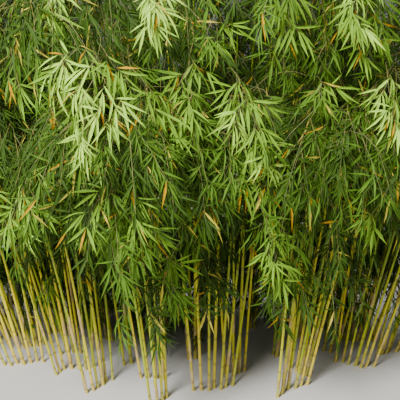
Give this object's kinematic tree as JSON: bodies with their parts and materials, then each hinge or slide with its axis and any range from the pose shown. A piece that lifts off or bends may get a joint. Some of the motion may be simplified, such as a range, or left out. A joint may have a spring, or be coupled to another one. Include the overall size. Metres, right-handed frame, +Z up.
{
  "type": "bamboo clump",
  "caption": "Ground-rooted clump of slender bamboo: bare culms rise in tufts from an oval foot, lean outwards and carry arching, drooping plumes of narrow leaves on all sides.",
  "frame": {"origin": "on the flat cut under the middle culm, at ground level", "axes": "+Z up, +X to the right along the clump's longer side as seen from its front, front faces -Y"},
  "size_m": [4.8596, 3.4592, 3.3999],
  "materials": {
    "culm": "satin",
    "foliage": "matt"
  },
  "bodies": {
    "root": {"culm_tuft_1": "culm", "culm_tuft_2": "culm", "culm_tuft_3": "culm", "culm_tuft_4": "culm", "culm_tuft_5": "culm", "culm_tuft_6": "culm", "culm_tuft_7": "culm", "culm_tuft_8": "culm", "culm_tuft_9": "culm", "culm_tuft_10": "culm", "culm_tuft_11": "culm", "culm_tuft_12": "culm", "culm_tuft_13": "culm", "culm_tuft_14": "culm", "culm_tuft_15": "culm", "culm_tuft_16": "culm", "culm_tuft_17": "culm", "culm_tuft_18": "culm", "culm_tuft_19": "culm", "culm_tuft_20": "culm", "culm_tuft_21": "culm", "culm_tuft_22": "culm", "culm_tuft_23": "culm", "culm_tuft_24": "culm", "culm_tuft_25": "culm", "culm_tuft_26": "culm", "culm_tuft_27": "culm", "culm_tuft_28": "culm", "culm_tuft_29": "culm", "culm_tuft_30": "culm", "culm_tuft_31": "culm", "culm_tuft_32": "culm", "culm_tuft_33": "culm", "culm_tuft_34": "culm", "culm_tuft_35": "culm", "culm_tuft_36": "culm", "culm_tuft_37": "culm", "culm_tuft_38": "culm", "culm_tuft_39": "culm", "foliage_top_1": "foliage", "foliage_top_2": "foliage", "foliage_top_3": "foliage", "foliage_top_4": "foliage", "foliage_top_5": "foliage", "foliage_middle_1": "foliage", "foliage_middle_2": "foliage", "foliage_middle_3": "foliage", "foliage_middle_4": "foliage", "foliage_middle_5": "foliage", "foliage_middle_6": "foliage", "foliage_middle_7": "foliage", "foliage_middle_8": "foliage", "foliage_skirt_1": "foliage", "foliage_skirt_2": "foliage", "foliage_skirt_3": "foliage", "foliage_skirt_4": "foliage", "foliage_skirt_5": "foliage", "foliage_skirt_6": "foliage", "foliage_skirt_7": "foliage", "foliage_skirt_8": "foliage"}
  },
  "joints": []
}
